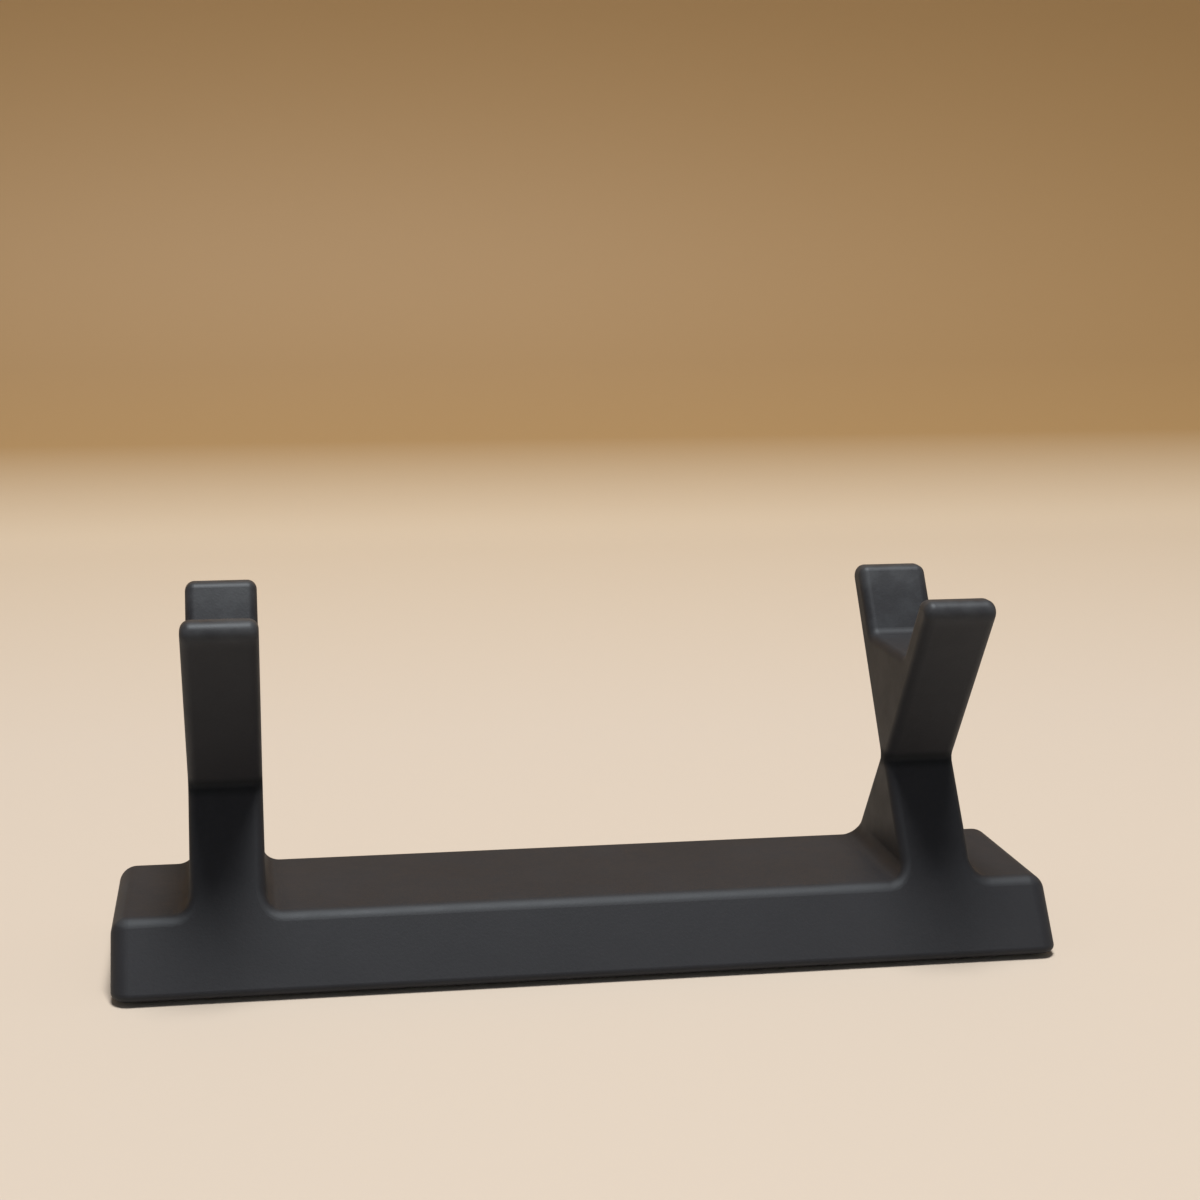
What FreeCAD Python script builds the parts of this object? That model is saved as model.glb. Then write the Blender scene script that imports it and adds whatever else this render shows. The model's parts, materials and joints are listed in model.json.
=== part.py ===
import FreeCAD, Part
import os
import Sketcher

# Free-standing toothbrush holder: a low bar that carries two identical cradle posts.
# Seen from the end, bar and posts share one hourglass outline. The sloping front and back
# faces of the bar run on into the lower flanks of the posts, meet in a narrow waist and
# flare out again into two arms with a flat-floored notch between them.
#
# Frame: millimetres, +X along the bar (to the right, seen from the front), +Y to the back,
# +Z up, origin on the standing surface below the middle of the bar.

doc = FreeCAD.newDocument("toothbrush_holder")
V = FreeCAD.Vector

# ---------------------------------------------------------------- driving dimensions
sheet = doc.addObject("Spreadsheet::Sheet", "Dims")
DIMS = [
    # outline shared by bar and posts, heights above the standing surface
    ("stand", 0.5),             # gap that the feet leave under the bar
    ("bar_length", 105.2),
    ("bar_depth", 31.0),        # at the underside of the bar
    ("bar_top", 8.2),
    ("waist_half", 1.45),       # half depth where the straight flanks would cross
    ("waist_level", 20.3),
    ("tip_half", 15.3),         # half depth at the arm tips, before rounding
    ("tip_level", 41.0),
    ("arm_width", 4.2),         # front to back, along the flat tip
    ("notch_level", 33.7),      # floor of the notch
    # posts
    ("post_pitch", 80.0),
    ("post_thick", 8.2),
    ("seam_level", 10.7),       # where a post sits on its pedestal
    # rounding
    ("bar_round", 2.0),
    ("under_round", 0.6),
    ("post_round", 1.1),
    ("junction_round", 1.8),    # hollow fillet between bar top and pedestal
    ("waist_round", 0.5),
    ("tip_round", 1.4),         # outer edge of each arm tip
    ("notch_round", 1.5),
    # tenon and socket
    ("tenon_thick", 4.6),
    ("tenon_wide", 11.0),
    ("tenon_deep", 5.0),
    ("tenon_round", 1.0),
    ("tenon_lead", 0.5),
    ("fit_gap", 0.1),
    ("socket_deep", 5.2),
    # screws, one up into each tenon
    ("screw_dia", 2.9),
    ("screw_long", 12.0),
    ("head_dia", 5.6),
    ("head_tall", 2.2),
    ("head_round", 0.9),
    ("drive_wide", 0.8),
    ("drive_long", 3.0),
    ("drive_deep", 1.2),
    ("bore_dia", 3.4),
    ("pilot_dia", 3.0),
    ("pilot_deep", 10.9),
    ("sink_dia", 6.2),
    ("sink_deep", 2.7),
    # feet
    ("foot_dia", 8.0),
    ("foot_thick", 1.5),
    ("foot_round", 0.35),
    ("foot_seat", 8.2),
    ("foot_x", 46.0),
    ("foot_y", 9.0),
]
D = {}
for i, (alias, value) in enumerate(DIMS, 1):
    sheet.set("A%d" % i, alias)
    sheet.set("B%d" % i, str(value))
    sheet.setAlias("B%d" % i, alias)
    D[alias] = value
doc.recompute()


def half_at(level):
    """Half depth of the lower flanks at a height, as numbers."""
    run = D["bar_depth"] / 2 - D["waist_half"]
    return D["bar_depth"] / 2 - run * (level - D["stand"]) / (D["waist_level"] - D["stand"])


def half_text(level):
    """The same as an expression on the sheet."""
    return ("(Dims.bar_depth / 2 - (Dims.bar_depth / 2 - Dims.waist_half) * (%s - Dims.stand)"
            " / (Dims.waist_level - Dims.stand))" % level)


def plane(body, role):
    for feature in body.Origin.OriginFeatures:
        if feature.Role == role:
            return feature
    raise RuntimeError("no plane " + role)


def outline(body, name, role, points, lift=None):
    """Closed polygon sketch. points: (x, y, x expression, y expression)."""
    sk = body.newObject("Sketcher::SketchObject", name)
    sk.AttachmentSupport = [(plane(body, role), "")]
    sk.MapMode = "FlatFace"
    if lift:
        sk.setExpression("AttachmentOffset.Base.z", lift)
    n = len(points)
    for k in range(n):
        a, b = points[k], points[(k + 1) % n]
        sk.addGeometry(Part.LineSegment(V(a[0], a[1], 0), V(b[0], b[1], 0)), False)
    for k in range(n):
        sk.addConstraint(Sketcher.Constraint("Coincident", k, 2, (k + 1) % n, 1))
    for k, (x, y, ex, ey) in enumerate(points):
        for kind, value, text, tag in (("DistanceX", x, ex, "x"), ("DistanceY", y, ey, "y")):
            c = sk.addConstraint(Sketcher.Constraint(kind, -1, 1, k, 1, value))
            sk.renameConstraint(c, "%s%d" % (tag, k))
            sk.setExpression("Constraints.%s%d" % (tag, k), text)
    return sk


def disc(body, name, role, x, y, ex, ey, dia, diameter_text, lift):
    """Circle sketch at a point."""
    sk = body.newObject("Sketcher::SketchObject", name)
    sk.AttachmentSupport = [(plane(body, role), "")]
    sk.MapMode = "FlatFace"
    sk.setExpression("AttachmentOffset.Base.z", lift)
    sk.addGeometry(Part.Circle(V(x, y, 0), V(0, 0, 1), dia / 2), False)
    for kind, value, text, tag in (("DistanceX", x, ex, "cx"), ("DistanceY", y, ey, "cy")):
        c = sk.addConstraint(Sketcher.Constraint(kind, -1, 1, 0, 3, value))
        sk.renameConstraint(c, tag)
        sk.setExpression("Constraints." + tag, text)
    c = sk.addConstraint(Sketcher.Constraint("Diameter", 0, dia))
    sk.renameConstraint(c, "dia")
    sk.setExpression("Constraints.dia", diameter_text)
    return sk


def pad(body, name, sketch, length, symmetric=False, reverse=False):
    f = body.newObject("PartDesign::Pad", name)
    f.Profile = sketch
    f.setExpression("Length", length)
    if symmetric:
        f.SideType = "Symmetric"
    f.Reversed = reverse
    sketch.Visibility = False
    doc.recompute()
    return f


def pocket(body, name, sketch, length, reverse=False):
    before = body.Shape.Volume
    f = body.newObject("PartDesign::Pocket", name)
    f.Profile = sketch
    f.setExpression("Length", length)
    f.Reversed = reverse
    doc.recompute()
    if not body.Shape.Volume < before - 1e-3:
        raise RuntimeError(name + " cuts nothing")
    return f


def ends(edge):
    a = edge.valueAt(edge.FirstParameter)
    b = edge.valueAt(edge.LastParameter)
    m = edge.valueAt((edge.FirstParameter + edge.LastParameter) / 2)
    return a, b, m


def pick(shape, test):
    """Names of the edges whose end and middle points pass a test."""
    return ["Edge%d" % i for i, e in enumerate(shape.Edges, 1) if test(*ends(e))]


def fillet(body, name, base, edges, radius):
    if not edges:
        raise RuntimeError(name + " finds no edge")
    f = body.newObject("PartDesign::Fillet", name)
    f.Base = (base, edges)
    f.setExpression("Radius", radius)
    doc.recompute()
    return f


EPS = 1e-3

# ---------------------------------------------------------------- base bar
bar = doc.addObject("PartDesign::Body", "bar_blank")
section = outline(bar, "bar_section", "YZ_Plane", [
    (-half_at(D["stand"]), D["stand"], "-" + half_text("Dims.stand"), "Dims.stand"),
    (half_at(D["stand"]), D["stand"], half_text("Dims.stand"), "Dims.stand"),
    (half_at(D["bar_top"]), D["bar_top"], half_text("Dims.bar_top"), "Dims.bar_top"),
    (-half_at(D["bar_top"]), D["bar_top"], "-" + half_text("Dims.bar_top"), "Dims.bar_top"),
])
pad(bar, "bar_pad", section, "Dims.bar_length", symmetric=True)

# a short pedestal for each post, on the same sloping flanks
root = D["bar_top"] - 1.0
step = outline(bar, "pedestal_section", "YZ_Plane", [
    (-half_at(root), root, "-" + half_text("(Dims.bar_top - 1)"), "Dims.bar_top - 1"),
    (half_at(root), root, half_text("(Dims.bar_top - 1)"), "Dims.bar_top - 1"),
    (half_at(D["seam_level"]), D["seam_level"], half_text("Dims.seam_level"), "Dims.seam_level"),
    (-half_at(D["seam_level"]), D["seam_level"], "-" + half_text("Dims.seam_level"), "Dims.seam_level"),
], lift="Dims.post_pitch / 2")
pedestal = pad(bar, "pedestal_pad", step, "Dims.post_thick", symmetric=True)
twin = bar.newObject("PartDesign::Mirrored", "pedestal_twin")
twin.Originals = [pedestal]
twin.MirrorPlane = (plane(bar, "YZ_Plane"), [""])
bar.Tip = twin
doc.recompute()

# hollow fillets where the pedestals rise from the bar's top
hollow = pick(twin.Shape, lambda a, b, m: abs(a.z - D["bar_top"]) < EPS and abs(b.z - D["bar_top"]) < EPS
              and abs(a.x - b.x) < EPS and abs(a.x) < D["bar_length"] / 2 - 1)
if len(hollow) != 4:
    raise RuntimeError("expected four junction edges, found %d" % len(hollow))
junction = fillet(bar, "junction_fillet", twin, hollow, "Dims.junction_round")

# the rounded rim: wide along the bar, narrowing along each hollow fillet to the edge of the post
blank = bar.Shape
narrowing, wide, tight = [], [], []
for i, e in enumerate(blank.Edges, 1):
    a, b, m = ends(e)
    low, high = min(a.z, b.z), max(a.z, b.z)
    if high < D["stand"] + EPS or low > D["seam_level"] - EPS:
        continue
    flank = all(abs(abs(p.y) - half_at(p.z)) < EPS for p in (a, b, m))
    end = all(abs(abs(p.x) - D["bar_length"] / 2) < EPS for p in (a, b, m))
    if not (flank or end):
        continue
    if high < D["bar_top"] + EPS:
        wide.append((i, D["bar_round"], D["bar_round"]))
    elif abs(a.x - b.x) < EPS:
        tight.append((i, D["post_round"], D["post_round"]))
    elif a.z < b.z:
        narrowing.append((i, D["bar_round"], D["post_round"]))
    else:
        narrowing.append((i, D["post_round"], D["bar_round"]))
if (len(narrowing), len(wide), len(tight)) != (8, 12, 8):
    raise RuntimeError("unexpected rim edges")
rounded = doc.addObject("Part::Fillet", "bar_rounded")
rounded.Base = bar
rounded.Edges = narrowing + wide + tight
doc.recompute()

under = doc.addObject("Part::Fillet", "bar_under")
under.Base = rounded
under.Edges = [(i, D["under_round"], D["under_round"]) for i, e in enumerate(rounded.Shape.Edges, 1)
               if all(abs(p.z - D["stand"]) < EPS for p in ends(e))]
doc.recompute()

# sockets for the tenons, stepped screw holes under them, and shallow seats for the feet
cutters = []
for side, tag in ((-1, "left"), (1, "right")):
    box = doc.addObject("Part::Box", tag + "_socket_block")
    box.setExpression("Length", "Dims.tenon_thick + 2 * Dims.fit_gap")
    box.setExpression("Width", "Dims.tenon_wide + 2 * Dims.fit_gap")
    box.setExpression("Height", "Dims.socket_deep + 1")
    box.setExpression("Placement.Base.x", "%d * Dims.post_pitch / 2 - Dims.tenon_thick / 2 - Dims.fit_gap" % side)
    box.setExpression("Placement.Base.y", "-Dims.tenon_wide / 2 - Dims.fit_gap")
    box.setExpression("Placement.Base.z", "Dims.seam_level - Dims.socket_deep")
    doc.recompute()
    socket = doc.addObject("Part::Fillet", tag + "_socket")
    socket.Base = box
    r = D["tenon_round"] + D["fit_gap"]
    socket.Edges = [(i, r, r) for i, e in enumerate(box.Shape.Edges, 1)
                    if abs(e.Vertexes[0].Z - e.Vertexes[-1].Z) > 1]
    bore = doc.addObject("Part::Cylinder", tag + "_screw_bore")
    bore.setExpression("Radius", "Dims.bore_dia / 2")
    bore.setExpression("Height", "Dims.seam_level - Dims.socket_deep + 1 - Dims.stand")
    bore.setExpression("Placement.Base.x", "%d * Dims.post_pitch / 2" % side)
    bore.setExpression("Placement.Base.z", "Dims.stand")
    sink = doc.addObject("Part::Cylinder", tag + "_head_sink")
    sink.setExpression("Radius", "Dims.sink_dia / 2")
    sink.setExpression("Height", "Dims.sink_deep + 1")
    sink.setExpression("Placement.Base.x", "%d * Dims.post_pitch / 2" % side)
    sink.setExpression("Placement.Base.z", "Dims.stand - 1")
    cutters += [socket, bore, sink]
CORNERS = (("front_left", -1, -1), ("front_right", 1, -1), ("back_left", -1, 1), ("back_right", 1, 1))
for tag, sx, sy in CORNERS:
    seat = doc.addObject("Part::Cylinder", tag + "_foot_seat")
    seat.setExpression("Radius", "Dims.foot_seat / 2")
    seat.setExpression("Height", "Dims.foot_thick - Dims.stand + 1")
    seat.setExpression("Placement.Base.x", "%d * Dims.foot_x" % sx)
    seat.setExpression("Placement.Base.y", "%d * Dims.foot_y" % sy)
    seat.setExpression("Placement.Base.z", "Dims.stand - 1")
    cutters.append(seat)
tools = doc.addObject("Part::MultiFuse", "bar_cutters")
tools.Shapes = cutters
base_bar = doc.addObject("Part::Cut", "base_bar")
base_bar.Label = "base_bar"
base_bar.Base = under
base_bar.Tool = tools
doc.recompute()


# ---------------------------------------------------------------- cradle posts
def cradle_post(name, side):
    """Hourglass post with a notch between its arms, and a tenon under it."""
    body = doc.addObject("PartDesign::Body", name)
    body.Label = name
    up = (D["tip_half"] - D["waist_half"]) / (D["tip_level"] - D["waist_level"])
    up_text = "(Dims.tip_half - Dims.waist_half) / (Dims.tip_level - Dims.waist_level)"
    inner = D["tip_half"] - D["arm_width"] - up * (D["tip_level"] - D["notch_level"])
    inner_text = "(Dims.tip_half - Dims.arm_width - %s * (Dims.tip_level - Dims.notch_level))" % up_text
    right = [
        (half_at(D["seam_level"]), D["seam_level"], half_text("Dims.seam_level"), "Dims.seam_level"),
        (D["waist_half"], D["waist_level"], "Dims.waist_half", "Dims.waist_level"),
        (D["tip_half"], D["tip_level"], "Dims.tip_half", "Dims.tip_level"),
        (D["tip_half"] - D["arm_width"], D["tip_level"], "(Dims.tip_half - Dims.arm_width)", "Dims.tip_level"),
        (inner, D["notch_level"], inner_text, "Dims.notch_level"),
    ]
    left = [(-x, y, "-" + ex, ey) for x, y, ex, ey in reversed(right)]
    middle = "%d * Dims.post_pitch / 2" % side
    sketch = outline(body, name + "_profile", "YZ_Plane", right + left, lift=middle)
    solid = pad(body, name + "_pad", sketch, "Dims.post_thick", symmetric=True)

    across = lambda a, b: abs(a.x - b.x) > 1 and abs(a.y - b.y) < EPS and abs(a.z - b.z) < EPS
    waist = fillet(body, name + "_waist", solid,
                   pick(solid.Shape, lambda a, b, m: across(a, b) and abs(a.z - D["waist_level"]) < EPS),
                   "Dims.waist_round")
    notch = fillet(body, name + "_notch", waist,
                   pick(waist.Shape, lambda a, b, m: across(a, b) and abs(a.z - D["notch_level"]) < EPS
                        and abs(a.y) > inner - 0.1),
                   "Dims.notch_round")

    # the outer edges of the arm tips are well rounded
    tips = fillet(body, name + "_tips", notch,
                  pick(notch.Shape, lambda a, b, m: across(a, b) and abs(a.z - D["tip_level"]) < EPS
                       and abs(abs(a.y) - D["tip_half"]) < EPS),
                  "Dims.tip_round")

    # every other free edge is rounded too: both side outlines and the inner edges of the tips
    x0 = side * D["post_pitch"] / 2
    def free(a, b, m):
        if max(a.z, b.z, m.z) < D["seam_level"] + EPS:
            return False
        if all(abs(abs(p.x - x0) - D["post_thick"] / 2) < EPS for p in (a, b, m)):
            return True
        return (across(a, b) and abs(a.z - D["tip_level"]) < EPS
                and abs(abs(a.y) - D["tip_half"] + D["arm_width"]) < EPS)
    rounded = fillet(body, name + "_round", tips, pick(tips.Shape, free), "Dims.post_round")

    # tenon, with rounded upright edges and a small lead at its end
    tx, ty = D["tenon_thick"] / 2, D["tenon_wide"] / 2
    cx = "%d * Dims.post_pitch / 2" % side
    foot = outline(body, name + "_tenon_section", "XY_Plane", [
        (x0 - tx, -ty, cx + " - Dims.tenon_thick / 2", "-Dims.tenon_wide / 2"),
        (x0 + tx, -ty, cx + " + Dims.tenon_thick / 2", "-Dims.tenon_wide / 2"),
        (x0 + tx, ty, cx + " + Dims.tenon_thick / 2", "Dims.tenon_wide / 2"),
        (x0 - tx, ty, cx + " - Dims.tenon_thick / 2", "Dims.tenon_wide / 2"),
    ], lift="Dims.seam_level")
    tenon = pad(body, name + "_tenon", foot, "Dims.tenon_deep", reverse=True)
    low = D["seam_level"] - D["tenon_deep"]
    upright = fillet(body, name + "_tenon_round", tenon,
                     pick(tenon.Shape, lambda a, b, m: abs(a.x - b.x) < EPS and abs(a.y - b.y) < EPS
                          and abs(min(a.z, b.z) - low) < EPS), "Dims.tenon_round")
    lead = body.newObject("PartDesign::Chamfer", name + "_tenon_lead")
    lead.Base = (upright, pick(upright.Shape, lambda a, b, m: all(abs(p.z - low) < EPS for p in (a, b, m))))
    lead.setExpression("Size", "Dims.tenon_lead")
    doc.recompute()

    # pilot hole for the screw, up from the tenon's end
    ring = disc(body, name + "_pilot_circle", "XY_Plane", x0, 0, cx, "0", D["pilot_dia"], "Dims.pilot_dia",
                "Dims.seam_level - Dims.tenon_deep")
    pocket(body, name + "_pilot", ring, "Dims.pilot_deep", reverse=True)
    return body


left_post = cradle_post("left_cradle_post", -1)
right_post = cradle_post("right_cradle_post", 1)


# ---------------------------------------------------------------- screws
def post_screw(name, side):
    """Pan-head screw, head down, with a cross recess."""
    body = doc.addObject("PartDesign::Body", name)
    x0 = side * D["post_pitch"] / 2
    seat = D["stand"] + D["sink_deep"]
    seat_text = "(Dims.stand + Dims.sink_deep)"
    cx = "%d * Dims.post_pitch / 2" % side
    head, shank = D["head_dia"] / 2, D["screw_dia"] / 2
    top = seat + D["screw_long"]
    sk = outline(body, name + "_half", "XZ_Plane", [
        (x0, seat - D["head_tall"], cx, seat_text + " - Dims.head_tall"),
        (x0 + head, seat - D["head_tall"], cx + " + Dims.head_dia / 2", seat_text + " - Dims.head_tall"),
        (x0 + head, seat, cx + " + Dims.head_dia / 2", seat_text),
        (x0 + shank, seat, cx + " + Dims.screw_dia / 2", seat_text),
        (x0 + shank, top - 1.2, cx + " + Dims.screw_dia / 2", seat_text + " + Dims.screw_long - 1.2"),
        (x0 + shank * 0.45, top, cx + " + 0.45 * Dims.screw_dia / 2", seat_text + " + Dims.screw_long"),
        (x0, top, cx, seat_text + " + Dims.screw_long"),
    ])
    spin = body.newObject("PartDesign::Revolution", name + "_turned")
    spin.Profile = sk
    spin.ReferenceAxis = (sk, ["Edge7"])
    spin.Angle = 360
    doc.recompute()
    low = seat - D["head_tall"]
    crown = fillet(body, name + "_crown", spin,
                   pick(spin.Shape, lambda a, b, m: all(abs(p.z - low) < EPS for p in (a, b, m))
                        and abs(abs(a.x - x0) - head) < EPS), "Dims.head_round")
    w, n = D["drive_wide"] / 2, D["drive_long"] / 2
    wt, nt = "Dims.drive_wide / 2", "Dims.drive_long / 2"
    arms = [(-n, -w), (-w, -w), (-w, -n), (w, -n), (w, -w), (n, -w), (n, w), (w, w), (w, n), (-w, n), (-w, w), (-n, w)]
    def text(v):
        return ("-" if v < 0 else "") + (nt if abs(abs(v) - n) < EPS else wt)
    cross = outline(body, name + "_cross", "XY_Plane",
                    [(x0 + x, y, cx + " + (" + text(x) + ")", text(y)) for x, y in arms],
                    lift=seat_text + " - Dims.head_tall")
    pocket(body, name + "_drive", cross, "Dims.drive_deep", reverse=True)
    return body


screws = doc.addObject("Part::Compound", "post_screws")
screws.Label = "post_screws"
screws.Links = [post_screw("left_post_screw", -1), post_screw("right_post_screw", 1)]
doc.recompute()

# ---------------------------------------------------------------- feet
feet = []
for tag, sx, sy in CORNERS:
    puck = doc.addObject("Part::Cylinder", tag + "_puck")
    puck.setExpression("Radius", "Dims.foot_dia / 2")
    puck.setExpression("Height", "Dims.foot_thick")
    puck.setExpression("Placement.Base.x", "%d * Dims.foot_x" % sx)
    puck.setExpression("Placement.Base.y", "%d * Dims.foot_y" % sy)
    doc.recompute()
    foot = doc.addObject("Part::Fillet", tag + "_foot")
    foot.Label = tag + "_foot"
    foot.Base = puck
    foot.Edges = [(i, D["foot_round"], D["foot_round"]) for i, e in enumerate(puck.Shape.Edges, 1)
                  if all(abs(p.z) < EPS for p in ends(e))]
    feet.append(foot)
doc.recompute()

# ---------------------------------------------------------------- checks and export
for obj in doc.Objects:
    if "Invalid" in obj.State or "Error" in obj.State:
        raise RuntimeError("%s: %s" % (obj.Name, obj.State))
nodes = [base_bar, left_post, right_post, screws] + feet
solids = {"post_screws": 2}
for obj in nodes:
    shape = obj.Shape
    if shape.isNull() or not shape.isValid():
        raise RuntimeError(obj.Label + " has no valid shape")
    if len(shape.Solids) != solids.get(obj.Label, 1):
        raise RuntimeError("%s has %d solids" % (obj.Label, len(shape.Solids)))
os.makedirs("parts", exist_ok=True)
for obj in nodes:
    obj.Shape.exportStep("parts/%s.step" % obj.Label)
    box = obj.Shape.BoundBox
    print("%-18s volume %9.2f  x %7.2f %7.2f  y %7.2f %7.2f  z %6.2f %6.2f" % (
        obj.Label, obj.Shape.Volume, box.XMin, box.XMax, box.YMin, box.YMax, box.ZMin, box.ZMax))
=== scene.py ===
import json
import math
import bpy
from mathutils import Matrix, Vector


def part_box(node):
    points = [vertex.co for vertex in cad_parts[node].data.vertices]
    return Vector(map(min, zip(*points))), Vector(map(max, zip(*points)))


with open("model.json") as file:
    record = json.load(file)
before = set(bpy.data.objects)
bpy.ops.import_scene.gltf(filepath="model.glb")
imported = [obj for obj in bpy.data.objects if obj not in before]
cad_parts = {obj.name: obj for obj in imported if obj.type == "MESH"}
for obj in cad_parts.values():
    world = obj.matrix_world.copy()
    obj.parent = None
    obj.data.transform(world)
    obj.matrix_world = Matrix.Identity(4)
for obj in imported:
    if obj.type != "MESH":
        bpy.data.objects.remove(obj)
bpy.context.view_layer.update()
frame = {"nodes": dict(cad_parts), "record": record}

scene = bpy.context.scene


# ---------------------------------------------------------------- camera
def aim(position, yaw, pitch, roll, focal_px, centre_px):
    """Camera from a fitted pose: focal length and optical centre in pixels of a 1200 x 1200 frame."""
    r = Vector((math.cos(yaw), -math.sin(yaw), 0.0))
    d = Vector((math.sin(yaw) * math.cos(pitch), math.cos(yaw) * math.cos(pitch), -math.sin(pitch)))
    u = r.cross(d)
    c, s = math.cos(roll), math.sin(roll)
    x, y, z = c * r + s * u, -s * r + c * u, -d
    data = bpy.data.cameras.new("camera")
    data.sensor_fit = "HORIZONTAL"
    data.sensor_width = 36.0
    data.lens = focal_px / 1200 * 36.0
    data.shift_x = (600 - centre_px[0]) / 1200
    data.shift_y = (centre_px[1] - 600) / 1200
    data.clip_start = 0.01
    data.clip_end = 20
    cam = bpy.data.objects.new("camera", data)
    cam.matrix_world = Matrix((
        (x.x, y.x, z.x, position[0]),
        (x.y, y.y, z.y, position[1]),
        (x.z, y.z, z.z, position[2]),
        (0, 0, 0, 1)))
    scene.collection.objects.link(cam)
    return cam


scene.camera = aim((-0.036754, -0.226702, 0.081088), 0.15103, 0.19204, 0.00026, 2071.66, (560, 630))
scene.view_settings.view_transform = "Standard"


# ---------------------------------------------------------------- materials
def material(name):
    m = bpy.data.materials.new(name)
    m.use_nodes = True
    nodes, links = m.node_tree.nodes, m.node_tree.links
    nodes.clear()
    out = nodes.new("ShaderNodeOutputMaterial")
    bsdf = nodes.new("ShaderNodeBsdfPrincipled")
    links.new(bsdf.outputs["BSDF"], out.inputs["Surface"])
    return m, nodes, links, bsdf


def noise(nodes, links, vector, scale, detail=2.0, rough=0.5):
    n = nodes.new("ShaderNodeTexNoise")
    n.inputs["Scale"].default_value = scale
    n.inputs["Detail"].default_value = detail
    n.inputs["Roughness"].default_value = rough
    links.new(vector, n.inputs["Vector"])
    return n.outputs["Fac"]


def ramp(nodes, links, fac, stops):
    n = nodes.new("ShaderNodeValToRGB")
    els = n.color_ramp.elements
    while len(els) < len(stops):
        els.new(0.5)
    for e, (p, c) in zip(els, stops):
        e.position = p
        e.color = c if len(c) == 4 else (*c, 1)
    links.new(fac, n.inputs["Fac"])
    return n.outputs["Color"]


def spread(nodes, links, fac, low, high, a=0.0, b=1.0):
    n = nodes.new("ShaderNodeMapRange")
    n.inputs["From Min"].default_value = a
    n.inputs["From Max"].default_value = b
    n.inputs["To Min"].default_value = low
    n.inputs["To Max"].default_value = high
    links.new(fac, n.inputs["Value"])
    return n.outputs["Result"]


def fade(nodes, links, value, start, end):
    """0 at start, 1 at end, smooth between and level outside, whichever of the two is the larger."""
    n = nodes.new("ShaderNodeMapRange")
    n.interpolation_type = "SMOOTHSTEP"
    n.inputs["From Min"].default_value = start
    n.inputs["From Max"].default_value = end
    links.new(value, n.inputs["Value"])
    return n.outputs["Result"]


def math_node(nodes, links, op, a, b):
    n = nodes.new("ShaderNodeMath")
    n.operation = op
    for socket, v in zip(n.inputs, (a, b)):
        if isinstance(v, (int, float)):
            socket.default_value = v
        else:
            links.new(v, socket)
    return n.outputs["Value"]


def blend_color(nodes, links, fac, a, b):
    n = nodes.new("ShaderNodeMix")
    n.data_type = "RGBA"
    links.new(fac, n.inputs["Factor"])
    for socket, v in ((n.inputs["A"], a), (n.inputs["B"], b)):
        if isinstance(v, tuple):
            socket.default_value = (*v, 1)
        else:
            links.new(v, socket)
    return n.outputs["Result"]


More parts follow.
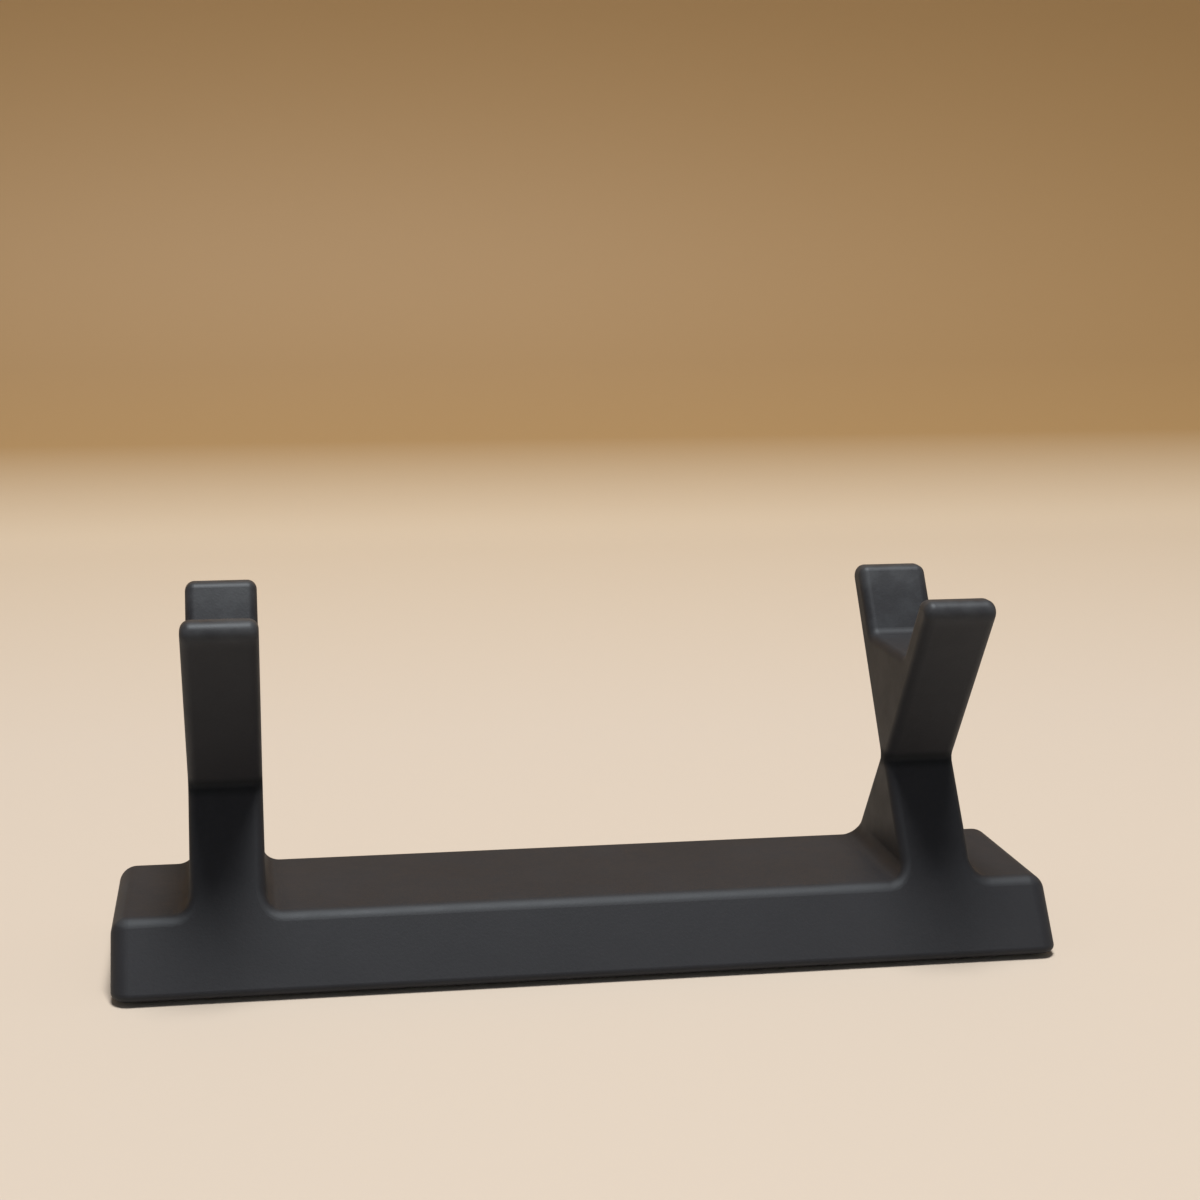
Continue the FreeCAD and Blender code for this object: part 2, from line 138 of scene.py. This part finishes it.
def charcoal():
    """Satin moulded plastic: fine sparked grain, cloudy pigment, pale worn rims, arm tips paler from wear and a
    painted highlight, notches rubbed smooth, and painted shade darkening the waist where the flares meet.
    """
    m, nodes, links, bsdf = material("charcoal_plastic")
    pos = nodes.new("ShaderNodeTexCoord").outputs["Object"]
    axes = nodes.new("ShaderNodeSeparateXYZ")
    links.new(pos, axes.inputs["Vector"])
    facing = nodes.new("ShaderNodeSeparateXYZ")
    links.new(nodes.new("ShaderNodeNewGeometry").outputs["Normal"], facing.inputs["Vector"])
    cloud = noise(nodes, links, pos, 85, 4, 0.6)
    fleck = noise(nodes, links, pos, 2600, 2, 0.5)
    smear = noise(nodes, links, pos, 210, 5, 0.65)
    grain = noise(nodes, links, pos, 3400, 3, 0.55)
    pigment = math_node(nodes, links, "ADD", math_node(nodes, links, "MULTIPLY", cloud, 0.7), math_node(nodes, links, "MULTIPLY", fleck, 0.3))
    color = ramp(nodes, links, pigment, [(0.34, (0.0173, 0.0169, 0.0195)), (0.66, (0.0213, 0.0208, 0.0238))])
    high = fade(nodes, links, axes.outputs["Z"], 0.0325, 0.0350)
    upward = fade(nodes, links, facing.outputs["Z"], 0.10, 0.45)
    rubbed = math_node(nodes, links, "MULTIPLY", high, upward)
    scuff = math_node(nodes, links, "MULTIPLY", rubbed, fade(nodes, links, smear, 0.44, 0.62))
    color = blend_color(nodes, links, math_node(nodes, links, "MULTIPLY", scuff, 0.55), color, (0.034, 0.037, 0.042))
    rim = math_node(nodes, links, "MULTIPLY", fade(nodes, links, facing.outputs["Z"], 0.60, 0.72), fade(nodes, links, facing.outputs["Z"], 0.985, 0.90))
    rim = math_node(nodes, links, "MULTIPLY", rim, fade(nodes, links, axes.outputs["Z"], 0.0086, 0.0080))
    # Everything above about 38 mm is paler: partly handling wear, partly a painted highlight standing in for the light
    # caught by the rounded arm tips.
    tips_wear_and_painted_highlight = fade(nodes, links, axes.outputs["Z"], 0.0378, 0.0400)
    patchy = spread(nodes, links, smear, 0.20, 0.60, 0.36, 0.62)
    color = blend_color(nodes, links, math_node(nodes, links, "MULTIPLY", rim, patchy), color, (0.038, 0.041, 0.046))
    color = blend_color(nodes, links, math_node(nodes, links, "MULTIPLY", tips_wear_and_painted_highlight, patchy), color, (0.056, 0.059, 0.065))
    # Painted shade: a thin band about 20.3 mm up, at the waist where the flares meet, is darkened and made rougher so
    # it reads as a shaded fold.
    off = math_node(nodes, links, "ABSOLUTE", math_node(nodes, links, "SUBTRACT", axes.outputs["Z"], 0.0203), 0.0)
    waist_painted_shade = math_node(nodes, links, "SUBTRACT", 1.0, fade(nodes, links, off, 0.0003, 0.0013))
    color = blend_color(nodes, links, math_node(nodes, links, "MULTIPLY", waist_painted_shade, 0.8), color, (0.006, 0.0065, 0.0075))
    links.new(color, bsdf.inputs["Base Color"])
    rough = spread(nodes, links, smear, 0.54, 0.62, 0.32, 0.68)
    rough = math_node(nodes, links, "SUBTRACT", rough, math_node(nodes, links, "MULTIPLY", rubbed, 0.07))
    links.new(math_node(nodes, links, "ADD", rough, math_node(nodes, links, "MULTIPLY", waist_painted_shade, 0.25)), bsdf.inputs["Roughness"])
    bsdf.inputs["Specular IOR Level"].default_value = 0.33
    bsdf.inputs["Specular Tint"].default_value = (0.78, 0.89, 1.0, 1)
    bump = nodes.new("ShaderNodeBump")
    bump.inputs["Strength"].default_value = 0.22
    bump.inputs["Distance"].default_value = 0.00006
    links.new(grain, bump.inputs["Height"])
    links.new(bump.outputs["Normal"], bsdf.inputs["Normal"])
    return m


def rubber():
    """Matt black rubber: dusty patches and a fine dry grain."""
    m, nodes, links, bsdf = material("foot_rubber")
    pos = nodes.new("ShaderNodeTexCoord").outputs["Object"]
    dust = noise(nodes, links, pos, 520, 5, 0.65)
    grain = noise(nodes, links, pos, 4200, 3, 0.6)
    color = ramp(nodes, links, dust, [(0.36, (0.0095, 0.0095, 0.0100)), (0.68, (0.0225, 0.0220, 0.0215))])
    links.new(color, bsdf.inputs["Base Color"])
    links.new(spread(nodes, links, dust, 0.70, 0.90, 0.35, 0.65), bsdf.inputs["Roughness"])
    bsdf.inputs["Specular IOR Level"].default_value = 0.30
    bump = nodes.new("ShaderNodeBump")
    bump.inputs["Strength"].default_value = 0.35
    bump.inputs["Distance"].default_value = 0.00008
    links.new(grain, bump.inputs["Height"])
    links.new(bump.outputs["Normal"], bsdf.inputs["Normal"])
    return m


def steel():
    """Zinc plated screw: turning rings round each head, a dull bloom, and painted shade darkening the cross recess."""
    m, nodes, links, bsdf = material("screw_steel")
    pos = nodes.new("ShaderNodeTexCoord").outputs["Object"]
    axes = nodes.new("ShaderNodeSeparateXYZ")
    links.new(pos, axes.inputs["Vector"])
    low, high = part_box("post_screws")
    across = math_node(nodes, links, "SUBTRACT", math_node(nodes, links, "ABSOLUTE", axes.outputs["X"], 0.0), high[0] - high[1])
    square = math_node(nodes, links, "ADD", math_node(nodes, links, "MULTIPLY", across, across), math_node(nodes, links, "MULTIPLY", axes.outputs["Y"], axes.outputs["Y"]))
    radius = nodes.new("ShaderNodeCombineXYZ")
    links.new(math_node(nodes, links, "SQRT", square, 0.0), radius.inputs["X"])
    rings = noise(nodes, links, radius.outputs["Vector"], 9000, 3, 0.6)
    bloom = noise(nodes, links, pos, 900, 4, 0.6)
    color = ramp(nodes, links, bloom, [(0.34, (0.44, 0.44, 0.46)), (0.66, (0.56, 0.56, 0.565))])
    # Painted shade: all of the screw more than about a millimetre above its lowest point is darkened, standing in for
    # shade inside the cross recess.
    recess_painted_shade = fade(nodes, links, axes.outputs["Z"], low[2] + 0.0006, low[2] + 0.0011)
    color = blend_color(nodes, links, math_node(nodes, links, "MULTIPLY", recess_painted_shade, 0.65), color, (0.10, 0.10, 0.105))
    links.new(color, bsdf.inputs["Base Color"])
    bsdf.inputs["Metallic"].default_value = 1.0
    links.new(spread(nodes, links, bloom, 0.30, 0.46, 0.3, 0.7), bsdf.inputs["Roughness"])
    bump = nodes.new("ShaderNodeBump")
    bump.inputs["Strength"].default_value = 0.20
    bump.inputs["Distance"].default_value = 0.00002
    links.new(rings, bump.inputs["Height"])
    links.new(bump.outputs["Normal"], bsdf.inputs["Normal"])
    return m


finishes = {"charcoal_plastic": charcoal(), "foot_rubber": rubber(), "screw_steel": steel()}
slots = {p["node"]: p["material_slot"] for p in frame["record"]["subparts"]}
for name, obj in frame["nodes"].items():
    obj.data.materials.clear()
    obj.data.materials.append(finishes[slots[name]])


# ---------------------------------------------------------------- floor and light
def cove():
    """Pale floor that curves up all round into plain low walls, warm behind and grey on the other sides."""
    x0, x1, y0, y1, corner, turn, top = -0.62, 0.62, -0.62, 0.30, 0.20, 0.16, 0.55
    outline = []
    for cx, cy, start in ((x1 - corner, y1 - corner, 0), (x0 + corner, y1 - corner, 90), (x0 + corner, y0 + corner, 180), (x1 - corner, y0 + corner, 270)):
        for k in range(17):
            a = math.radians(start + 90 * k / 16)
            outline.append((cx, cy, math.cos(a), math.sin(a)))
    rise = [(turn * math.sin(k / 24 * math.pi / 2), turn - turn * math.cos(k / 24 * math.pi / 2)) for k in range(25)] + [(turn, top)]
    n = len(outline)
    verts = [(cx + (corner + out) * ux, cy + (corner + out) * uy, z) for out, z in rise for cx, cy, ux, uy in outline]
    faces = [tuple(range(n))]
    for r in range(len(rise) - 1):
        for k in range(n):
            j = (k + 1) % n
            faces.append((r * n + j, r * n + k, (r + 1) * n + k, (r + 1) * n + j))
    mesh = bpy.data.meshes.new("floor")
    mesh.from_pydata(verts, [], faces)
    for p in mesh.polygons:
        p.use_smooth = len(p.vertices) == 4
    obj = bpy.data.objects.new("floor", mesh)
    scene.collection.objects.link(obj)
    m, nodes, links, bsdf = material("floor_paint")
    axes = nodes.new("ShaderNodeSeparateXYZ")
    links.new(nodes.new("ShaderNodeTexCoord").outputs["Object"], axes.inputs["Vector"])
    height = spread(nodes, links, axes.outputs["Z"], 0.0, 1.0, 0.0, 0.04)
    warm = ramp(nodes, links, height, [(0.0, (0.565, 0.475, 0.365)), (0.04, (0.555, 0.462, 0.348)), (0.5, (0.31, 0.190, 0.074)), (1.0, (0.28, 0.169, 0.064))])
    cool = ramp(nodes, links, height, [(0.0, FLOOR), (0.04, (0.555, 0.490, 0.420)), (0.5, (0.42, 0.41, 0.40)), (1.0, WALL)])
    mix = nodes.new("ShaderNodeMix")
    mix.data_type = "RGBA"
    links.new(spread(nodes, links, axes.outputs["Y"], 0.0, 1.0, 0.10, 0.34), mix.inputs["Factor"])
    links.new(cool, mix.inputs["A"])
    links.new(warm, mix.inputs["B"])
    links.new(mix.outputs["Result"], bsdf.inputs["Base Color"])
    bsdf.inputs["Roughness"].default_value = 0.65
    mesh.materials.append(m)


FLOOR, WALL = (0.565, 0.500, 0.430), (0.34, 0.38, 0.43)
cove()


def area(name, position, target, size, power, color, size_y=None):
    data = bpy.data.lights.new(name, "AREA")
    data.shape = "RECTANGLE"
    data.size = size
    data.size_y = size_y or size
    data.energy = power
    data.color = color
    obj = bpy.data.objects.new(name, data)
    obj.location = position
    obj.rotation_euler = (Vector(target) - Vector(position)).to_track_quat("-Z", "Y").to_euler()
    scene.collection.objects.link(obj)


area("over", (0.03, -0.06, 1.1), (0, 0, 0.02), 0.32, 15.4, (1.0, 0.96, 0.91), 0.34)
world = bpy.data.worlds.new("world")
world.use_nodes = True
world.node_tree.nodes["Background"].inputs["Color"].default_value = (0.86, 0.91, 1.0, 1)
world.node_tree.nodes["Background"].inputs["Strength"].default_value = 0.10
scene.world = world
